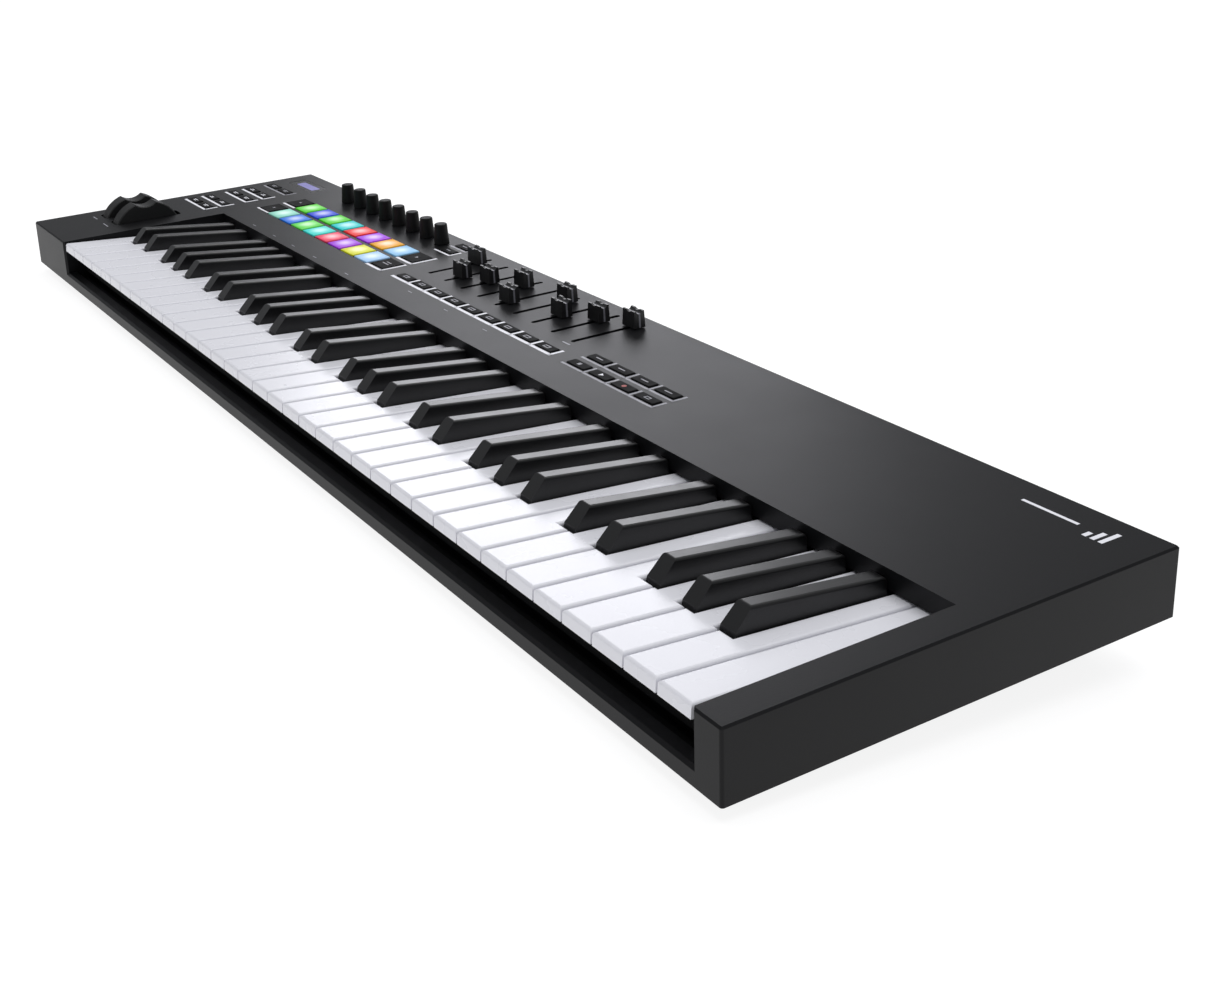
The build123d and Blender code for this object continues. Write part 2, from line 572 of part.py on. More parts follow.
with BuildPart() as wheel_bracket:
    for x in PLATES:
        with BuildSketch(WHEEL_SIDE.offset(x)):
            with Locations((WHEEL_ROW, INNER_TOP)):
                Rectangle(80, 20, align=(Align.CENTER, Align.MAX))
            with Locations((WHEEL_ROW, WHEEL_AXIS)):
                Circle(9)
                Circle(STUB + RUNNING, mode=Mode.SUBTRACT)
        extrude(amount=PLATE / 2, both=True)
    with BuildSketch(DECK.offset(INNER_TOP)):
        with Locations(*[((PLATES[0] + PLATES[-1]) / 2, WHEEL_ROW + y) for y in (-37.5, 37.5)]):
            Rectangle(PLATES[-1] - PLATES[0] + PLATE, 5)
    extrude(amount=-3)
write(wheel_bracket, "wheel_bracket")

SPRING_WIRE = 0.45
SPRING_RADIUS = 5.2
with BuildPart() as pitch_spring:
    start = WHEELS[0] - WHEEL_WIDTH / 2 - 3.9
    hub = DECK.from_local_coords((start, WHEEL_ROW, WHEEL_AXIS))
    with BuildLine() as coil:
        Helix(pitch=1.1, height=3.3, radius=SPRING_RADIUS, center=hub, direction=(1, 0, 0))
    with BuildSketch(Plane(origin=coil.line @ 0, z_dir=coil.line % 0)):
        Circle(SPRING_WIRE)
    sweep(path=coil.line)
write(pitch_spring, "pitch_spring")

# ---------------------------------------------------------------- pads and buttons
FLANGE = 0.4                 # how far a pad's or button's foot spreads under the panel
FLANGE_HEIGHT = 1.2
FOOT_GAP = 1.4               # foot above the board, more than the travel


def pushers(name, size, places, rise):
    """Pads or buttons that share one press: a cap through the panel and a spread foot."""
    with BuildPart() as group:
        foot = BOARD_TOP + FOOT_GAP
        with BuildSketch(DECK.offset(foot)):
            with Locations(*places):
                RectangleRounded(*size, 1.0)
        extrude(amount=SLAB + rise - foot)
        with BuildSketch(DECK.offset(foot)):
            with Locations(*places):
                Rectangle(size[0] + 2 * FLANGE, size[1] + 2 * FLANGE)
        extrude(amount=FLANGE_HEIGHT)
        top = Axis(DECK.origin, DECK.z_dir)
        chamfer(group.faces().group_by(top)[-1].edges(), 0.4)
    write(group, name)


pushers("drum_pads", PAD_SIZE, PAD_PLACES, PAD_RISE)
pushers("mode_buttons", SMALL_BUTTON, MODE_PLACES, BUTTON_RISE)
pushers("fader_buttons", SMALL_BUTTON, FADER_BUTTON_PLACES, BUTTON_RISE)
pushers("transport_buttons", SMALL_BUTTON, TRANSPORT_PLACES, BUTTON_RISE)

with BuildPart() as pad_buttons:
    for size, places in ((PAD_BUTTON_SIZE, PAD_BUTTON_PLACES), (SMALL_BUTTON, KNOB_BUTTON_PLACES)):
        with BuildSketch(DECK.offset(BOARD_TOP + FOOT_GAP)):
            with Locations(*places):
                RectangleRounded(*size, 1.0)
        extrude(amount=SLAB + BUTTON_RISE - BOARD_TOP - FOOT_GAP)
        with BuildSketch(DECK.offset(BOARD_TOP + FOOT_GAP)):
            with Locations(*places):
                Rectangle(size[0] + 2 * FLANGE, size[1] + 2 * FLANGE)
        extrude(amount=FLANGE_HEIGHT)
    chamfer(pad_buttons.faces().group_by(Axis(DECK.origin, DECK.z_dir))[-1].edges(), 0.4)
write(pad_buttons, "pad_buttons")

# ---------------------------------------------------------------- knobs and their pots
KNOB_HEIGHT = 16.0           # above the panel
KNOB_FOOT = 6.0              # radius at the skirt
KNOB_TOP = 4.9               # radius at the top
KNOB_LIFT = 0.5              # air between knob and panel
FLUTES = 16
POT = (10.0, 7.0)            # pot body: side, height
POT_BORE_DEPTH = 5.0
SHAFT = 2.5

for number, x in enumerate(COLUMNS, start=1):
    with BuildPart() as knob:
        with BuildSketch(DECK.offset(SLAB + KNOB_LIFT)):
            with Locations((x, KNOB_ROW)):
                Circle(KNOB_FOOT)
        with BuildSketch(DECK.offset(SLAB + KNOB_HEIGHT)):
            with Locations((x, KNOB_ROW)):
                Circle(KNOB_TOP)
        loft()
        fillet(knob.faces().sort_by(Axis(DECK.origin, DECK.z_dir))[-1].edges(), 0.9)
        with BuildSketch(DECK.offset(SLAB + 3.0)):
            with Locations((x, KNOB_ROW)):
                with PolarLocations(KNOB_FOOT + 0.2, FLUTES):
                    Circle(0.55)
        extrude(amount=KNOB_HEIGHT, mode=Mode.SUBTRACT, taper=4)
        with BuildSketch(DECK.offset(BOARD_TOP + POT[1] - POT_BORE_DEPTH + 0.6)):
            with Locations((x, KNOB_ROW)):
                Circle(SHAFT)
        extrude(amount=SLAB + 2 - BOARD_TOP - POT[1] + POT_BORE_DEPTH)
    write(knob, f"knob_{number}")

with BuildPart() as rotary_pots:
    with BuildSketch(DECK.offset(BOARD_TOP)):
        with Locations(*[(x, KNOB_ROW) for x in COLUMNS]):
            Rectangle(POT[0], POT[0])
    extrude(amount=POT[1])
    with BuildSketch(DECK.offset(BOARD_TOP + POT[1] - POT_BORE_DEPTH)):
        with Locations(*[(x, KNOB_ROW) for x in COLUMNS]):
            Circle(SHAFT + RUNNING)
    extrude(amount=SLAB, mode=Mode.SUBTRACT)
write(rotary_pots, "rotary_pots")

# ---------------------------------------------------------------- faders and their pots
CAP = (14.0, 8.6)            # cap: across, along the slot
CAP_LIFT = 0.6
CAP_HEIGHT = 12.0            # above the panel
SADDLE = (2.0, 2.6)          # scoop across the cap: depth, radius
DIP = (0.9, 5.0)             # scoop along the slot, which leaves four raised corners
LEVER = (1.2, 4.0)
LEVER_FOOT = BOARD_TOP + 3.0
SLIDE_POT = (8.0, 62.0, 7.0)
SLIDE_SLOT = (2.0, 54.0)
SLOT_FRONT = FADER_MIDDLE - FADER_TRAVEL / 2

for number, (x, place) in enumerate(zip(FADERS, FADER_PLACES), start=1):
    y = SLOT_FRONT + place
    with BuildPart() as fader:
        with BuildSketch(DECK.offset(SLAB + CAP_LIFT)):
            with Locations((x, y)):
                Rectangle(CAP[0], CAP[1])
        extrude(amount=CAP_HEIGHT - CAP_LIFT, taper=2.5)
        with BuildSketch(WHEEL_SIDE.offset(x)):
            with Locations((y, SLAB + CAP_HEIGHT - SADDLE[0] + SADDLE[1])):
                Circle(SADDLE[1])
        extrude(amount=CAP[0], both=True, mode=Mode.SUBTRACT)
        across = Plane(origin=DECK.from_local_coords((x, y, 0)), x_dir=(1, 0, 0), z_dir=-DECK.y_dir)
        with BuildSketch(across):
            with Locations((0, SLAB + CAP_HEIGHT - DIP[0] + DIP[1])):
                Circle(DIP[1])
        extrude(amount=CAP[1], both=True, mode=Mode.SUBTRACT)
        with BuildSketch(DECK.offset(LEVER_FOOT)):
            with Locations((x, y)):
                Rectangle(*LEVER)
        extrude(amount=SLAB + CAP_LIFT + 1 - LEVER_FOOT)
    write(fader, f"fader_{number}")

with BuildPart() as slide_pots:
    with BuildSketch(DECK.offset(BOARD_TOP)):
        with Locations(*[(x, FADER_MIDDLE) for x in FADERS]):
            Rectangle(SLIDE_POT[0], SLIDE_POT[1])
    extrude(amount=SLIDE_POT[2])
    with BuildSketch(DECK.offset(LEVER_FOOT - 1)):
        with Locations(*[(x, FADER_MIDDLE) for x in FADERS]):
            Rectangle(*SLIDE_SLOT)
    extrude(amount=SLAB, mode=Mode.SUBTRACT)
write(slide_pots, "slide_pots")

# ---------------------------------------------------------------- boards and display
CONTROL_FRONT = 151.0
SWITCH = 0.3                 # height of the contact under each button
MODE_FRONT = 126.0
BOARD_REAR = 253.0
with BuildPart() as control_board:
    with BuildSketch(DECK.offset(BOARD_TOP - BOARD)):
        span(BAY_LEFT - 4, TRANSPORT[-1] + 14, CONTROL_FRONT, BOARD_REAR)
        span(MODES[0] - 14, BAY_LEFT - 4, MODE_FRONT, BOARD_REAR)
        with Locations(*REAR_SCREWS[:3]):
            Circle(BOSS + 0.9, mode=Mode.SUBTRACT)
    extrude(amount=BOARD)
    with BuildSketch(DECK.offset(BOARD_TOP)):
        with Locations(*SMALL_PLACES, *PAD_BUTTON_PLACES):
            Rectangle(5, 5)
    extrude(amount=SWITCH)
write(control_board, "control_board")

WINDOW = 0.9                 # thickness of the display window
with BuildPart() as display_window:
    with BuildSketch(DECK.offset(SLAB - RECESS)):
        with Locations(DISPLAY):
            RectangleRounded(*DISPLAY_WINDOW, 1.0)
    extrude(amount=WINDOW)
write(display_window, "display_window")

with BuildPart() as display_module:
    with BuildSketch(DECK.offset(BOARD_TOP)):
        with Locations(DISPLAY):
            Rectangle(DISPLAY_WINDOW[0] - 4, DISPLAY_WINDOW[1] - 2)
    extrude(amount=INNER_TOP - BOARD_TOP - 0.2)
write(display_module, "display_module")

# ---------------------------------------------------------------- main board and sockets
MAIN_TOP = STANDOFF_TOP + BOARD
SOCKET_FACE = 0.4            # socket faces stand this far inside the rear wall's outer face


def socket_body(x, width, top):
    """Outline of a socket's block, which stands on the main board just inside the rear wall."""
    with BuildSketch(REAR.offset(-SOCKET_FACE - 3)) as outline:
        with Locations((-x, MAIN_TOP)):
            Rectangle(width, top - MAIN_TOP, align=(Align.CENTER, Align.MIN))
    return outline.sketch


with BuildPart() as main_board:
    with BuildSketch(DECK.offset(STANDOFF_TOP)):
        span(KEY_LEFT - 66, KEY_LEFT + 82, 226.0, 254.0)
    extrude(amount=BOARD)
write(main_board, "main_board")

USB_MOUTH = (8.6, 7.9, 9.0)  # width, height, depth
with BuildPart() as usb_socket:
    x, height = SOCKETS["usb"]
    with BuildSketch(REAR.offset(-SOCKET_FACE)):
        with Locations((-x, height)):
            Rectangle(*USB_BODY)
    extrude(amount=-4)
    extrude(socket_body(x, USB_BODY[0], height + USB_BODY[1] / 2), amount=-13)
    with BuildSketch(REAR.offset(-SOCKET_FACE)):
        with Locations((-x, height)):
            Rectangle(USB_MOUTH[0], USB_MOUTH[1])
    extrude(amount=-USB_MOUTH[2], mode=Mode.SUBTRACT)
write(usb_socket, "usb_socket")

JACK_BODY = (13.0, 24.0)     # width, length
with BuildPart() as pedal_jack:
    x, height = SOCKETS["jack"]
    with BuildSketch(REAR.offset(-SOCKET_FACE)):
        with Locations((-x, height)):
            Circle(JACK_BUSH)
    extrude(amount=-4)
    extrude(socket_body(x, JACK_BODY[0], height + 6), amount=-JACK_BODY[1])
    with BuildSketch(REAR.offset(-SOCKET_FACE)):
        with Locations((-x, height)):
            Circle(JACK_BORE)
    extrude(amount=-JACK_BODY[1], mode=Mode.SUBTRACT)
write(pedal_jack, "pedal_jack")

MIDI_RING = (5.6, 6.9)       # the plug's shell goes between these radii
MIDI_DEPTH = 8.0
PIN_CIRCLE = 3.7
with BuildPart() as midi_socket:
    x, height = SOCKETS["midi"]
    with BuildSketch(REAR.offset(-SOCKET_FACE)):
        with Locations((-x, height)):
            Circle(MIDI_NOSE)
    extrude(amount=-4)
    extrude(socket_body(x, 18, height + 7.4), amount=-14)
    with BuildSketch(REAR.offset(-SOCKET_FACE)):
        with Locations((-x, height)):
            Circle(MIDI_RING[1])
            Circle(MIDI_RING[0], mode=Mode.SUBTRACT)
            with PolarLocations(PIN_CIRCLE, 5, start_angle=0, angular_range=180, endpoint=True):
                Circle(0.75)
    extrude(amount=-MIDI_DEPTH, mode=Mode.SUBTRACT)
write(midi_socket, "midi_socket")
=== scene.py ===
"""The looks of a 61-key synthesizer keyboard controller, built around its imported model.

Metres, in the keyboard's own frame: +X to the player's right, +Y away from the player, +Z up.
Sizes in the functions for panel pieces are in millimetres on the tilted panel: x from the left
edge of the lowest white key, y from the front of the case, z up from the underside of the slab.
"""

import math

import bmesh
import bpy
from mathutils import Matrix, Vector


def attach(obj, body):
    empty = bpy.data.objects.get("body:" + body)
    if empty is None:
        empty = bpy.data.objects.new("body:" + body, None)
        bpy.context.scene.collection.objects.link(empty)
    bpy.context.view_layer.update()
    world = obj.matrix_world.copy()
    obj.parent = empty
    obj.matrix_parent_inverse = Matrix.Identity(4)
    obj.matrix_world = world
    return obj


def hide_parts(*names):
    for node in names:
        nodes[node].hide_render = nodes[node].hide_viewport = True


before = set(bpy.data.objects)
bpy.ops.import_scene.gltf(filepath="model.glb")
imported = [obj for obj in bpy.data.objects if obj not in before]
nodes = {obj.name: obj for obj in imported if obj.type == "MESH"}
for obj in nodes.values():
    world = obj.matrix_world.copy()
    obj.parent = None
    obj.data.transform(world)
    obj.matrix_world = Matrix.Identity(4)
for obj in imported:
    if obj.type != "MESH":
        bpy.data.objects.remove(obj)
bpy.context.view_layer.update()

MM = 0.001
TILT = math.radians(4.5)
KEYS_LEFT = -390.0
FRONT = -127.455
CLEARANCE = 7.0
SLAB = 35.6
PANEL = (
    Matrix.Diagonal((MM, MM, MM, 1.0))
    @ Matrix.Translation((KEYS_LEFT, FRONT, CLEARANCE))
    @ Matrix.Rotation(TILT, 4, "X")
)


# ---------------------------------------------------------------- materials
def linear(code):
    """The linear colour of an sRGB hex code."""
    parts = [int(code[i:i + 2], 16) / 255 for i in (1, 3, 5)]
    return [c / 12.92 if c <= 0.04045 else ((c + 0.055) / 1.055) ** 2.4 for c in parts] + [1.0]


def add_node(tree, kind, inputs=(), **settings):
    """Add a node with its settings; inputs maps a socket to its value or to the output it takes."""
    node = tree.nodes.new(kind)
    for name, value in settings.items():
        setattr(node, name, value)
    for socket, value in dict(inputs).items():
        if isinstance(value, bpy.types.NodeSocket):
            tree.links.new(value, node.inputs[socket])
        else:
            node.inputs[socket].default_value = value
    return node


def start_material(name, **sockets):
    """A new material and its tree, shader and object coordinates; sockets are set on the shader."""
    made = bpy.data.materials.new(name)
    made.use_nodes = True
    tree = made.node_tree
    shader = tree.nodes["Principled BSDF"]
    for socket, value in sockets.items():
        shader.inputs[socket.replace("_", " ")].default_value = value
    place = add_node(tree, "ShaderNodeTexCoord").outputs["Object"]
    return made, tree, shader, place


def vary_colour(tree, shader, place, dark, light, size):
    """Blend two close colours in soft patches of a size in mm."""
    patches = add_node(tree, "ShaderNodeTexNoise", {"Vector": place, "Scale": 1 / (size * MM), "Detail": 3.0})
    mix = add_node(
        tree, "ShaderNodeMix", {0: patches.outputs["Fac"], 6: linear(dark), 7: linear(light)},
        data_type="RGBA",
    )
    tree.links.new(mix.outputs[2], shader.inputs["Base Color"])


def vary_roughness(tree, shader, place, low, high, size):
    """Let the roughness drift between two values in patches of a size in mm."""
    patches = add_node(tree, "ShaderNodeTexNoise", {"Vector": place, "Scale": 1 / (size * MM), "Detail": 4.0})
    spread = add_node(
        tree, "ShaderNodeMapRange",
        {"Value": patches.outputs["Fac"], "From Min": 0.3, "From Max": 0.7, "To Min": low, "To Max": high},
    )
    tree.links.new(spread.outputs["Result"], shader.inputs["Roughness"])


def grain(tree, shader, place, size, depth, stretch=(1, 1, 1), detail=2.0):
    """A bumpy surface whose bumps are size wide and depth deep, in mm."""
    turned = add_node(tree, "ShaderNodeMapping", {"Vector": place, "Scale": stretch})
    bumps = add_node(
        tree, "ShaderNodeTexNoise",
        {"Vector": turned.outputs["Vector"], "Scale": 1 / (size * MM), "Detail": detail},
    )
    bump = add_node(
        tree, "ShaderNodeBump", {"Height": bumps.outputs["Fac"], "Strength": 1.0, "Distance": depth * MM}
    )
    tree.links.new(bump.outputs["Normal"], shader.inputs["Normal"])


def plain(name, dark, light, rough, size=40.0, bumps=None, **sockets):
    """A moulded or pressed finish: drifting colour and roughness, and an optional grain."""
    made, tree, shader, place = start_material(name, **sockets)
    vary_colour(tree, shader, place, dark, light, size)
    vary_roughness(tree, shader, place, *rough, size * 0.6)
    if bumps:
        grain(tree, shader, place, *bumps)
    return made


# ABS moulded against spark-eroded steel: a fine even grain that spreads each highlight wide.
# The real grain is about 0.1 mm and would not show, so it is drawn at 0.7 mm.
case_abs = plain("grained_black_abs", "#0e0e10", "#101012", (0.42, 0.44), 60.0, (0.7, 0.03), IOR=1.26)
# The same ABS on the underside, keybed frame and wheel bracket, where the mould is coarser and the gloss
# lower. Its colour is darker than the top case's as painted shade, so the recesses under the keys and round
# the wheels read black.
shade_dark_underside_abs = plain("coarse_black_abs_painted_shade", "#070708", "#09090a", (0.72, 0.8), 40.0, (1.1, 0.08), IOR=1.3)
# Polished white ABS: bright and clean, with a soft gloss that dulls a little where fingers rub it.
white_abs = plain(
    "polished_white_abs", "#e4e4ea", "#e6e6ec", (0.26, 0.29), 60.0, None, IOR=1.5,
    Subsurface_Weight=0.06, Subsurface_Radius=(0.004, 0.004, 0.004),
)
# Black ABS brushed by the mould's draw along the key: a satin sheen drawn out lengthways.
black_key_abs = plain(
    "satin_black_abs", "#09090a", "#0c0c0d", (0.28, 0.33), 30.0, (0.9, 0.015, (1.0, 0.08, 1.0)), IOR=1.5
)
# Polycarbonate with a soft-touch coat: very black, with only a dull haze of a highlight.
soft_touch = plain("soft_touch_black_coat", "#060607", "#09090a", (0.56, 0.62), 8.0, (0.5, 0.02), IOR=1.34)
# Injection-moulded black acetal of the fader caps: slightly waxy, so edges catch a thin light.
acetal = plain("black_acetal", "#121213", "#171719", (0.34, 0.44), 9.0, (0.6, 0.02), IOR=1.48)
# Moulded thermoplastic rubber of the wheels: deep black, dry and slightly dusty.
wheel_rubber = plain("black_wheel_rubber", "#09090a", "#0d0d0e", (0.55, 0.66), 14.0, (0.8, 0.05), IOR=1.5)
# Silicone keycaps of the small buttons: black, dry, with a soft edge highlight.
button_silicone = plain(
    "black_silicone", "#060607", "#09090a", (0.62, 0.72), 12.0, (0.6, 0.02), IOR=1.33,
    Specular_IOR_Level=0.2,
)
# Rubber feet: dull and grey with dust.
foot_rubber = plain("dusty_black_rubber", "#1a1a1a", "#242424", (0.8, 0.92), 7.0, (0.5, 0.06), IOR=1.5)
# Silk-screened white ink, thin and slightly matt.
white_ink = plain("white_screen_ink", "#e6e6ee", "#f4f4fa", (0.5, 0.6), 6.0, (0.4, 0.01), IOR=1.48)
# Grey ink of the less important legends.
grey_ink = plain("grey_screen_ink", "#8f8f97", "#a4a4ac", (0.5, 0.6), 6.0, (0.4, 0.01), IOR=1.48)
# Gloss black ink laid under the white lines, so a dark rim shows round them.
black_ink = plain("black_screen_ink", "#0a0a0c", "#101013", (0.4, 0.5), 6.0, (0.4, 0.01), IOR=1.48)
# Red ink of the record mark.
red_ink = plain("red_screen_ink", "#8e2a22", "#a8352b", (0.45, 0.55), 4.0, (0.4, 0.01), IOR=1.48)
# Grey paint filled into the grooves of the fader caps.
groove_paint = plain("grey_groove_paint", "#6f6f75", "#82828a", (0.4, 0.5), 5.0, (0.3, 0.01), IOR=1.48)
# Wool felt, black and fuzzy, for the key stops.
felt = plain("black_wool_felt", "#09090a", "#101011", (0.9, 1.0), 3.0, (0.5, 0.2), Sheen_Weight=0.6)
# Clear silicone sheet with its domes, milky grey.
dome_silicone = plain("milky_silicone", "#8c8c92", "#a3a3a8", (0.4, 0.5), 10.0, (1.5, 0.02), IOR=1.42)
# Glass-filled nylon of the socket bodies.
socket_nylon = plain("black_nylon", "#141415", "#1a1a1b", (0.5, 0.6), 6.0, (0.4, 0.02), IOR=1.53)
# Ivory nylon of a socket's tongue.
ivory_nylon = plain("ivory_nylon", "#d8d4c4", "#e2dfd0", (0.4, 0.5), 4.0, (0.4, 0.01), IOR=1.53)


def brushed(name, dark, light, rough, stretch):
    """A metal with fine drawn lines along one way."""
    made, tree, shader, place = start_material(name, Metallic=1.0)
    vary_colour(tree, shader, place, dark, light, 12.0)
    vary_roughness(tree, shader, place, *rough, 5.0)
    grain(tree, shader, place, 0.35, 0.01, stretch)
    return made


# Cold-drawn mild steel, plated: grey, with fine lines along its length.
drawn_steel = brushed("plated_drawn_steel", "#a8a9ad", "#b9babe", (0.28, 0.4), (0.05, 1.0, 1.0))
# Steel of the slide pots, coloured near black as painted shade, so that the fader slots stay dark.
shade_black_steel = brushed("steel_painted_black_as_shade", "#0d0d0e", "#121213", (0.5, 0.6), (0.05, 1.0, 1.0))
# Turned nickel-plated brass of the jack's nut: brighter and smoother.
nickel = brushed("nickel_plated_brass", "#c4c1b8", "#d2d0c9", (0.14, 0.24), (1.0, 0.2, 1.0))
# Gold-flashed contacts: warm and bright.
gold_flash = brushed("gold_flashed_copper", "#c9a24e", "#d8b465", (0.18, 0.28), (1.0, 0.1, 1.0))


# FR4 circuit board under green solder mask: a dull gloss with paler copper tracks showing through.
board_fr4, tree, shader, place = start_material("green_solder_mask", IOR=1.5)
tracks = add_node(
    tree, "ShaderNodeTexBrick",
    {
        "Vector": place,
        "Color1": linear("#1d4a30"), "Color2": linear("#245a3a"), "Mortar": linear("#153a25"),
        "Scale": 1 / (9.0 * MM), "Mortar Size": 0.03, "Brick Width": 1.6, "Row Height": 0.18,
    },
)
tree.links.new(tracks.outputs["Color"], shader.inputs["Base Color"])
vary_roughness(tree, shader, place, 0.3, 0.42, 15.0)

# Smoked acrylic over the display: nearly black, with a hard clean gloss.
smoked_acrylic = plain("smoked_acrylic", "#09090c", "#0b0b0f", (0.16, 0.18), 25.0, None, IOR=1.4)

# The display's own light: cells of lilac light with darker gaps of about half a millimetre.
display_light, tree, shader, place = start_material(
    "lilac_display_light", Base_Color=linear("#0c0c16"), Roughness=0.3
)
cells = add_node(
    tree, "ShaderNodeTexBrick",
    {
        "Vector": place,
        "Color1": linear("#a09df0"), "Color2": linear("#8f88e6"), "Mortar": linear("#6257c4"),
        "Scale": 1 / (4.0 * MM), "Mortar Size": 0.045, "Mortar Smooth": 0.4, "Brick Width": 0.55,
        "Row Height": 1.0,
    },
    offset=0.0,
)
tree.links.new(cells.outputs["Color"], shader.inputs["Emission Color"])
shader.inputs["Emission Strength"].default_value = 0.5

# Milky silicone pads lit from below: the light is strongest and palest over the lamp in the middle.
pad_silicone, tree, shader, place = start_material("lit_milky_silicone", IOR=1.3)
lamp = add_node(tree, "ShaderNodeAttribute", attribute_name="lamp", attribute_type="GEOMETRY")
spot = add_node(tree, "ShaderNodeUVMap", uv_map="pad")
middle = add_node(
    tree, "ShaderNodeVectorMath", {0: spot.outputs["UV"], 1: (0.5, 0.5, 0.0)}, operation="DISTANCE"
)
glow = add_node(
    tree, "ShaderNodeMapRange",
    {"Value": middle.outputs["Value"], "From Min": 0.0, "From Max": 0.5, "To Min": 0.5, "To Max": 0.0},
    interpolation_type="SMOOTHSTEP",
)
pale = add_node(
    tree, "ShaderNodeMix",
    {0: glow.outputs["Result"], 6: lamp.outputs["Color"], 7: linear("#ffffff")}, data_type="RGBA",
)
dimmed = add_node(
    tree, "ShaderNodeMapRange",
    {"Value": middle.outputs["Value"], "From Min": 0.1, "From Max": 0.6, "To Min": 0.26, "To Max": 0.0},
)
tree.links.new(pale.outputs[2], shader.inputs["Base Color"])
tree.links.new(pale.outputs[2], shader.inputs["Emission Color"])
tree.links.new(dimmed.outputs["Result"], shader.inputs["Emission Strength"])
vary_roughness(tree, shader, place, 0.42, 0.55, 9.0)
grain(tree, shader, place, 0.8, 0.02)

NODE_FINISH = {
    # bottom_case, keybed_frame and wheel_bracket take the underside ABS, whose darker colour is painted shade
    # for the recesses
    "top_case": case_abs, "bottom_case": shade_dark_underside_abs, "rubber_feet": foot_rubber, "case_screws": drawn_steel,
    "keybed_frame": shade_dark_underside_abs, "key_pivot_rod": drawn_steel, "key_felts": felt,
    "key_contact_board": board_fr4, "contact_domes": dome_silicone, "control_board": board_fr4,
    # the slide pots' near-black steel is painted shade that keeps the fader slots dark
    "main_board": board_fr4, "slide_pots": shade_black_steel, "rotary_pots": socket_nylon,
    "wheel_bracket": shade_dark_underside_abs, "pitch_spring": drawn_steel, "display_module": socket_nylon,
    "display_window": smoked_acrylic, "usb_socket": drawn_steel, "midi_socket": socket_nylon,
    "pedal_jack": socket_nylon, "pitch_wheel": wheel_rubber, "mod_wheel": wheel_rubber,
    "mode_buttons": button_silicone, "pad_buttons": button_silicone, "fader_buttons": button_silicone,
    "transport_buttons": button_silicone,
}
for name, piece in nodes.items():
    finish = NODE_FINISH.get(name)
    if name.startswith("knob_"):
        finish = soft_touch
    elif name.startswith("fader_") and finish is None:
        finish = acetal
    elif name.startswith("keys_sharps"):
        finish = black_key_abs
    elif name.startswith("key") and finish is None:
        finish = white_abs
    if finish:
        piece.data.materials.clear()
        piece.data.materials.append(finish)


# ---------------------------------------------------------------- making pieces
def finish_piece(bm, name, finishes, body):
    """Turn a bmesh into a named piece that rides on a body of the model."""
    bmesh.ops.recalc_face_normals(bm, faces=bm.faces)
    mesh = bpy.data.meshes.new(name)
    bm.to_mesh(mesh)
    bm.free()
    for finish in finishes:
        mesh.materials.append(finish)
    piece = bpy.data.objects.new(name, mesh)
    bpy.context.scene.collection.objects.link(piece)
    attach(piece, body)
    return piece


def block(bm, x, y, z, width, depth, height, finish=0, turn=0.0):
    """A block whose underside's middle is at x, y, z on the panel."""
    place = (
        PANEL @ Matrix.Translation((x, y, z + height / 2)) @ Matrix.Rotation(turn, 4, "Z")
        @ Matrix.Diagonal((width, depth, height, 1.0))
    )
    made = bmesh.ops.create_cube(bm, size=1.0, matrix=place)
    faces = {face for vert in made["verts"] for face in vert.link_faces}
    for face in faces:
        face.material_index = finish
    return made["verts"]


def disc(bm, x, y, z, radius, height, sides=24, finish=0, turn=0.0):
    """A disc, or with few sides a prism, whose underside's middle is at x, y, z on the panel."""
    place = PANEL @ Matrix.Translation((x, y, z + height / 2)) @ Matrix.Rotation(turn, 4, "Z")
    made = bmesh.ops.create_cone(
        bm, cap_ends=True, segments=sides, radius1=radius, radius2=radius, depth=height, matrix=place
    )
    for face in {face for vert in made["verts"] for face in vert.link_faces}:
        face.material_index = finish


# ---------------------------------------------------------------- lit pads
GRID = 24.1
FIRST_COLUMN = 36.3
COLUMNS = [FIRST_COLUMN + GRID * i for i in range(8)]
PAD = (21.7, 20.6)
PAD_FLOOR = 27.0
PAD_TOP = 36.8
PAD_LIGHTS = (
    (178.8, ("#93dcc8", "#2a76e0", "#5fdc4c", "#3ddcd2", "#ee3f62", "#a43fe0", "#dfe02c", "#a6cdf4")),
    (203.8, ("#58d82a", "#2448d8", "#4fd61f", "#12cfd0", "#ee1f1f", "#a63be6", "#efa81e", "#8fc6ee")),
)


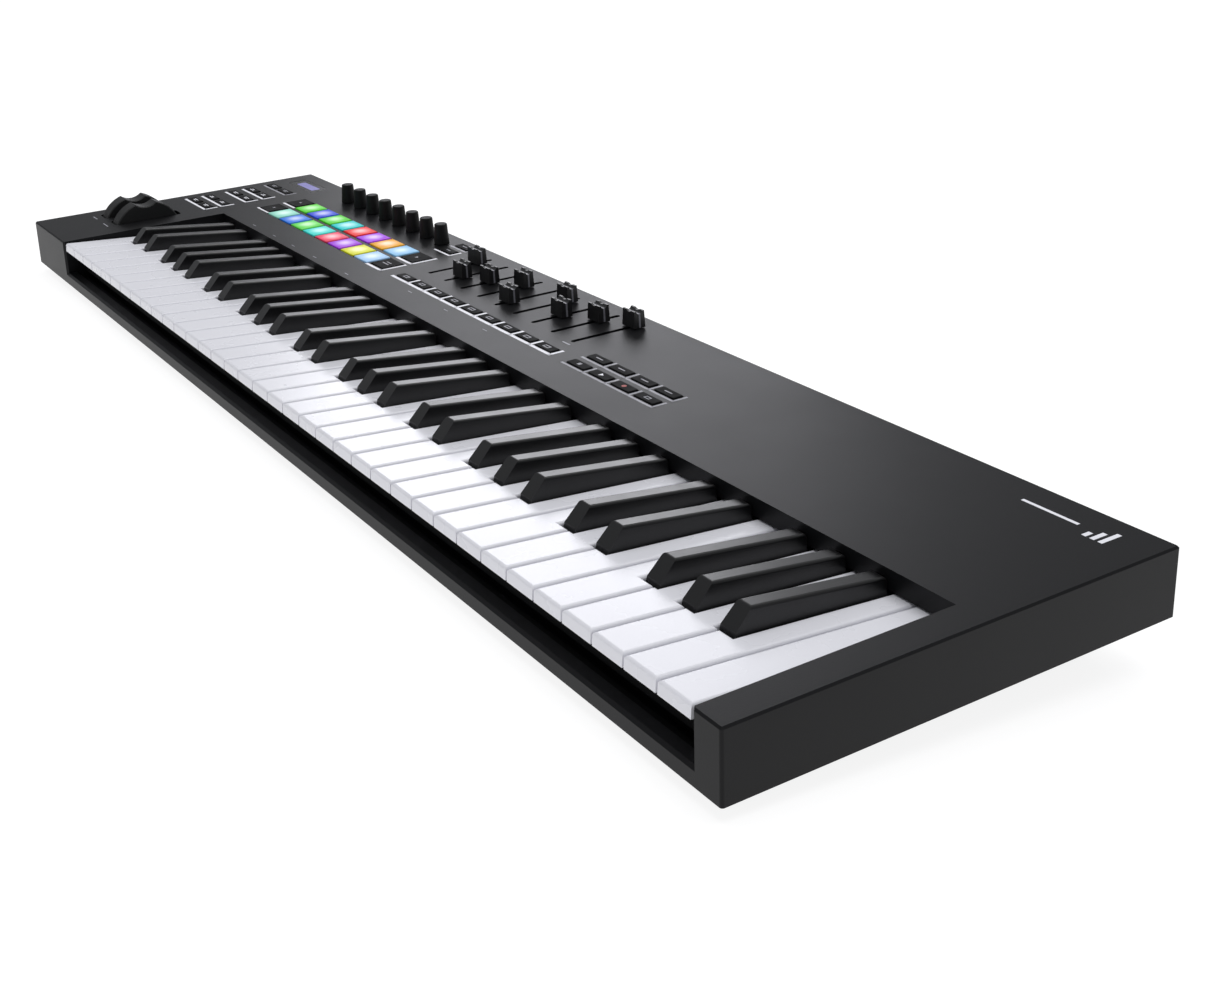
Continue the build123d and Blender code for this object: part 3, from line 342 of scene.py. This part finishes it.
def lit_pads():
    """The sixteen soft pads, each with the colour of the lamp under it."""
    bm = bmesh.new()
    lamp_layer = bm.loops.layers.float_color.new("lamp")
    spot_layer = bm.loops.layers.uv.new("pad")
    inverse = PANEL.inverted()
    for y, lights in PAD_LIGHTS:
        for x, light in zip(COLUMNS, lights):
            verts = block(bm, x, y, PAD_FLOOR, PAD[0], PAD[1], PAD_TOP - 0.25 - PAD_FLOOR)
            edges = {edge for vert in verts for edge in vert.link_edges}
            rounded = bmesh.ops.bevel(
                bm, geom=list(edges), offset=0.9 * MM, offset_type="OFFSET", segments=3, profile=0.5,
                affect="EDGES", material=-1,
            )
            faces = {face for vert in verts if vert.is_valid for face in vert.link_faces}
            faces |= set(rounded["faces"])
            island = set()
            frontier = list(faces)
            while frontier:
                face = frontier.pop()
                if face in island:
                    continue
                island.add(face)
                frontier += [near for edge in face.edges for near in edge.link_faces if near not in island]
            top = max(island, key=lambda face: (inverse @ face.calc_center_median()).z)
            for step in (3.0, 3.0):
                bmesh.ops.inset_region(bm, faces=[top], thickness=step * MM, depth=0.12 * MM)
            island |= {near for edge in top.edges for near in edge.link_faces}
            colour = linear(light)
            for vert in {vert for face in island for vert in face.verts}:
                local = inverse @ vert.co
                for loop in vert.link_loops:
                    loop[lamp_layer] = colour
                    loop[spot_layer].uv = ((local.x - x) / PAD[0] + 0.5, (local.y - y) / PAD[1] + 0.5)
    return finish_piece(bm, "lit_pads", [pad_silicone], "drum_pads")


pads = lit_pads()
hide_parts("drum_pads")


# ---------------------------------------------------------------- printed lines on the panel
INK = 0.05                   # thickness of the white and grey ink
UNDER_INK = 0.025            # thickness of the black ink beneath it
SUNK = 0.02                  # how far a printed piece reaches into what it is printed on
MARK = 0.06                  # height of a button's mark, with its sunk part
MODE_COLUMNS = (-62.0, -37.0)
MODE_ROWS = (136.3, 151.6, 174.0, 190.3, 211.3)
WHITE_MODE_ROWS = 4          # the rearmost row is printed in grey
MODE_BRACKETS = (131.0, 146.3, 168.8, 185.0)
DASHES = (54.0, 96.0, 134.0, 175.0, 232.0, 302.0, 355.0, 408.0)
PAD_BUTTON_COLUMNS = (12.2, 229.1)
PAD_BUTTON_ROWS = (179.8, 204.6)
KNOB_BUTTON_ROWS = (232.6, 246.8)
TRANSPORT_ROWS = (173.8, 188.4)
FADER_BUTTON_ROW = 175.0
FADER_COLUMNS = [269.8 + GRID * i for i in range(9)]
TRANSPORT_COLUMNS = [502.0 + 23.8 * i for i in range(4)]


def line(bm, start, end, width, finish, height=INK, rim=0.0):
    """A printed stroke from one point of the panel to another."""
    along = Vector(end) - Vector(start)
    middle = (Vector(end) + Vector(start)) / 2
    turn = math.atan2(along.y, along.x)
    broad = width + rim
    block(bm, middle.x, middle.y, SLAB - SUNK, along.length + broad, broad, SUNK + height, finish, turn)


def stroke(bm, points, width, finish, rim=1.3):
    """A printed line through several points, with its dark rim under it."""
    for start, end in zip(points, points[1:]):
        line(bm, start, end, width, finish)
        line(bm, start, end, width, 2, UNDER_INK, rim)


def printed_lines():
    """The lines that frame the buttons, the dashes in front of the pads and the plain badge."""
    bm = bmesh.new()
    for y in MODE_BRACKETS:
        stroke(bm, [(-72.5, y), (-25.5, y), (-25.5, y + 10.5)], 2.2, 0)
    stroke(bm, [(-72.5, 206.0), (-25.5, 206.0), (-25.5, 216.0)], 1.6, 1)
    for y in (170.0, 194.0):
        stroke(bm, [(0.5, y), (22.0, y)], 2.0, 0)
    stroke(bm, [(217.5, 168.5), (240.4, 168.5), (240.4, 188.5)], 2.4, 0)
    stroke(bm, [(217.5, 194.0), (240.4, 194.0), (240.4, 214.5)], 2.4, 0)
    stroke(bm, [(216.5, 227.0), (239.0, 227.0), (239.0, 236.5)], 1.9, 0)
    stroke(bm, [(216.5, 241.2), (239.0, 241.2), (239.0, 250.5)], 1.6, 1)
    stroke(bm, [(258.6, 169.4), (474.2, 169.4)], 2.5, 0)
    for x in FADER_COLUMNS:
        stroke(bm, [(x + 11.9, 169.4), (x + 11.9, 178.6)], 2.3, 0)
    for y in (168.2, 182.9):
        stroke(bm, [(TRANSPORT_COLUMNS[0] - 11.0, y), (TRANSPORT_COLUMNS[-1] + 11.6, y)], 1.6, 1)
        for x in TRANSPORT_COLUMNS:
            stroke(bm, [(x + 11.6, y), (x + 11.6, y + 9.6)], 1.5, 1)
    for x in DASHES:
        y = 144.5 if x < 250 else 161.0
        line(bm, (x - 2.6, y), (x + 2.6, y), 0.6, 1)
    line(bm, (459.5, 189.0), (466.5, 189.0), 1.2, 1)
    line(bm, (-66.5, 45.5), (-57.0, 45.5), 0.9, 1)
    line(bm, (-37.6, 45.2), (-26.0, 45.2), 0.9, 1)
    # a plain three-bar mark by the rear right corner
    for i in range(3):
        line(bm, (834.0 + 4.6 * i, 233.5), (834.0 + 4.6 * i, 236.0 + 4.2 * i), 2.6, 0)
    line(bm, (792.0, 239.6), (824.0, 239.6), 2.0, 0)
    return finish_piece(bm, "printed_lines", [white_ink, grey_ink, black_ink], "case")


printed_lines()

BUTTON_TOP = SLAB + 0.8


def button_mark(name, body, draw):
    """The marks printed on one group of buttons, which move with it."""
    bm = bmesh.new()
    draw(bm)
    return finish_piece(bm, name, [white_ink, grey_ink, red_ink], body)


def printed(bm, x, y, width, depth, finish):
    """A printed bar on a button."""
    block(bm, x, y, BUTTON_TOP - SUNK, width, depth, MARK, finish)


def frame_mark(bm, x, y, width, depth, finish, thick=0.7):
    """A small hollow rectangle."""
    for side in (-1, 1):
        printed(bm, x, y + side * (depth - thick) / 2, width, thick, finish)
        printed(bm, x + side * (width - thick) / 2, y, thick, depth - 2 * thick, finish)


def bars_mark(bm, x, y, widths, finish, pitch=1.7, thick=0.8):
    """A stack of short bars."""
    for i, width in enumerate(widths):
        offset = (i - (len(widths) - 1) / 2) * pitch
        printed(bm, x, y + offset, width, thick, finish)


def triangle_mark(bm, x, y, radius, turn, finish):
    """A filled triangle, pointing along its turn."""
    disc(bm, x, y, BUTTON_TOP - SUNK, radius, MARK, 3, finish, turn)


def mode_marks(bm):
    """Two short bars on each button beside the wheels."""
    for row, y in enumerate(MODE_ROWS):
        for x in MODE_COLUMNS:
            bars_mark(bm, x, y, (7.5, 5.0) if row % 2 else (5.5, 8.0), 0 if row < WHITE_MODE_ROWS else 1)


def fader_marks(bm):
    """A small frame on the button in front of each fader."""
    for x in FADER_COLUMNS:
        frame_mark(bm, x, FADER_BUTTON_ROW, 6.4, 3.2, 1, 0.8)


def pad_marks(bm):
    """Bars and arrows on the buttons at the ends of the pads and of the knobs."""
    left, right = PAD_BUTTON_COLUMNS
    front, rear = PAD_BUTTON_ROWS
    bars_mark(bm, right, front, (9.0, 7.0), 1, 3.0, 1.0)
    triangle_mark(bm, right, rear, 1.9, math.radians(-90), 1)
    triangle_mark(bm, left, front, 1.7, math.radians(180), 1)
    triangle_mark(bm, left, rear, 1.7, 0.0, 1)
    for y in KNOB_BUTTON_ROWS:
        bars_mark(bm, right - 1.0, y, (6.0,), 1)


def transport_marks(bm):
    """Stop, play, record and loop in front, and a bar on each button behind them."""
    front, rear = TRANSPORT_ROWS
    x = TRANSPORT_COLUMNS
    printed(bm, x[0], front, 2.8, 2.8, 1)
    triangle_mark(bm, x[1], front, 2.1, math.radians(-90), 0)
    disc(bm, x[2], front, BUTTON_TOP - SUNK, 1.6, MARK, 24, 2)
    frame_mark(bm, x[3], front, 5.0, 2.8, 1, 0.6)
    for place in x:
        bars_mark(bm, place, rear, (7.0,), 1, 1.6, 0.9)


button_mark("mode_button_marks", "mode_buttons", mode_marks)
button_mark("fader_button_marks", "fader_buttons", fader_marks)
button_mark("pad_button_marks", "pad_buttons", pad_marks)
button_mark("transport_button_marks", "transport_buttons", transport_marks)


# ---------------------------------------------------------------- display
def display_glow():
    """The lit strip of the display, just over its dark window."""
    bm = bmesh.new()
    verts = block(bm, -41.5, 235.8, SLAB - 0.12, 33.0, 8.4, 0.05)
    edges = {edge for vert in verts for edge in vert.link_edges}
    upright = [e for e in edges if abs((e.verts[0].co - e.verts[1].co).normalized().z) > 0.9]
    bmesh.ops.bevel(
        bm, geom=upright, offset=1.0 * MM, offset_type="OFFSET", segments=3, profile=0.5, affect="EDGES",
        material=-1,
    )
    return finish_piece(bm, "display_glow", [display_light], "case")


display_glow()


# ---------------------------------------------------------------- fader caps
FADER_PLACES = (37.0, 11.0, 19.7, 33.8, 7.5, 39.2, 19.2, 32.8, 44.0)
SLOT_FRONT = 197.3
CAP_HALF = 7.0
CAP_TOP = SLAB + 12.0
CAP_VALLEY = CAP_TOP - 2.0


def cap_line(number, x, y):
    """The painted groove across a fader cap: up one side, over the valley and down the other."""
    bm = bmesh.new()
    thick = 0.08
    top_half = CAP_HALF - 0.35
    block(bm, x, y, CAP_VALLEY - 0.06, 2 * top_half, 1.5, 0.06 + thick)
    lean = math.radians(2.5)
    for side in (-1, 1):
        height = CAP_VALLEY - SLAB - 1.0
        place = (
            PANEL @ Matrix.Translation((x + side * (CAP_HALF - 0.02), y, SLAB + 0.9))
            @ Matrix.Rotation(-side * lean, 4, "Y")
            @ Matrix.Translation((0, 0, height / 2)) @ Matrix.Diagonal((2 * thick, 1.3, height, 1.0))
        )
        bmesh.ops.create_cube(bm, size=1.0, matrix=place)
    return finish_piece(bm, f"fader_line_{number}", [groove_paint], f"fader_{number}")


for index, (x, place) in enumerate(zip(FADER_COLUMNS, FADER_PLACES)):
    cap_line(index + 1, x, SLOT_FRONT + place)


# ---------------------------------------------------------------- rear sockets
DEPTH = 258.5


def rear_tube(bm, x, z, radius, hole, start, length, sides=32, finish=0):
    """A ring on the rear wall, from start mm behind its face inwards by length mm."""
    place = PANEL @ Matrix.Translation((x, DEPTH + start, z)) @ Matrix.Rotation(math.radians(90), 4, "X")
    outer = bmesh.ops.create_circle(bm, cap_ends=False, segments=sides, radius=radius, matrix=place)
    edges = list({edge for vert in outer["verts"] for edge in vert.link_edges})
    inner = bmesh.ops.create_circle(bm, cap_ends=False, segments=sides, radius=hole, matrix=place)
    edges += list({edge for vert in inner["verts"] for edge in vert.link_edges})
    ring = bmesh.ops.bridge_loops(bm, edges=edges)
    grown = bmesh.ops.extrude_face_region(bm, geom=ring["faces"])
    moved = [item for item in grown["geom"] if isinstance(item, bmesh.types.BMVert)]
    step = (PANEL.to_3x3() @ Vector((0, -length, 0)))
    bmesh.ops.translate(bm, verts=moved, vec=step)


def rear_details():
    """The jack's nut, the USB tongue with its contacts and the rim of the round socket."""
    bm = bmesh.new()
    rear_tube(bm, 10.0, 15.0, 5.5, 3.3, 0.6, 1.2, 6)
    rear_tube(bm, 50.0, 16.0, 7.8, 7.0, 0.2, 0.8, 48)
    finish_piece(bm, "socket_rims", [nickel], "case")
    bm = bmesh.new()
    place = PANEL @ Matrix.Translation((-40.0, DEPTH - 5.0, 13.4)) @ Matrix.Diagonal((5.2, 8.0, 3.0, 1.0))
    made = bmesh.ops.create_cube(bm, size=1.0, matrix=place)
    edges = {edge for vert in made["verts"] for edge in vert.link_edges}
    bmesh.ops.bevel(
        bm, geom=list(edges), offset=0.3 * MM, offset_type="OFFSET", segments=2, profile=0.5,
        affect="EDGES", material=-1,
    )
    finish_piece(bm, "usb_tongue", [ivory_nylon], "case")
    bm = bmesh.new()
    for x in (-41.2, -38.8):
        for z in (11.8, 15.0):
            place = PANEL @ Matrix.Translation((x, DEPTH - 4.8, z)) @ Matrix.Diagonal((1.0, 6.4, 0.3, 1.0))
            bmesh.ops.create_cube(bm, size=1.0, matrix=place)
    finish_piece(bm, "usb_contacts", [gold_flash], "case")


rear_details()

# ---------------------------------------------------------------- floor, light and camera
# Seamless white paper under the keyboard, large enough to fill the view.
paper = plain("white_studio_paper", "#808081", "#848485", (0.9, 0.97), 400.0, (2.0, 0.01),
              Emission_Color=linear("#ffffff"), Emission_Strength=0.87)
bm = bmesh.new()
bmesh.ops.create_grid(bm, x_segments=1, y_segments=1, size=60.0)
floor_mesh = bpy.data.meshes.new("floor")
bm.to_mesh(floor_mesh)
bm.free()
floor_mesh.materials.append(paper)
floor = bpy.data.objects.new("floor", floor_mesh)
bpy.context.scene.collection.objects.link(floor)

world = bpy.data.worlds.new("studio")
bpy.context.scene.world = world
world.use_nodes = True
world.node_tree.nodes["Background"].inputs["Color"].default_value = linear("#f4f6fa")
world.node_tree.nodes["Background"].inputs["Strength"].default_value = 0.4


def aim(thing, place, target):
    """Put a lamp at a place, facing a target."""
    thing.location = place
    thing.rotation_euler = (Vector(target) - Vector(place)).to_track_quat("-Z", "Y").to_euler()
    bpy.context.scene.collection.objects.link(thing)


sky = bpy.data.lights.new("sky_panel", "SUN")
sky.energy = 1.6
sky.angle = math.radians(60)
aim(bpy.data.objects.new("sky_panel", sky), (-0.2, 0.3, 3.0), (0, 0, 0))

sheen = bpy.data.lights.new("rear_softbox", "AREA")
sheen.shape = "RECTANGLE"
sheen.size = 0.95
sheen.size_y = 0.8
sheen.energy = 8.8
sheen.color = (0.95, 0.95, 1.0)
aim(bpy.data.objects.new("rear_softbox", sheen), (-1.67, 1.13, 0.95), (0.08, 0.07, 0.05))

camera_data = bpy.data.cameras.new("camera")
camera_data.sensor_width = 36.0
camera_data.lens = 48.1
camera_data.shift_x = 0.0851
camera_data.shift_y = -0.1319
camera_data.clip_start = 0.05
camera = bpy.data.objects.new("camera", camera_data)
bpy.context.scene.collection.objects.link(camera)
to_world = Matrix.Rotation(TILT, 3, "X")
right = to_world @ Vector((0.50740, 0.86037, -0.04799))
down = to_world @ Vector((0.25520, -0.20323, -0.94529))
ahead = to_world @ Vector((-0.82305, 0.46740, -0.32269))
turned = Matrix((right, -down, -ahead)).transposed().to_4x4()
camera.matrix_world = Matrix.Translation(PANEL @ Vector((1286.59, -323.40, 375.74))) @ turned
bpy.context.scene.camera = camera

bpy.context.scene.view_settings.view_transform = "Standard"
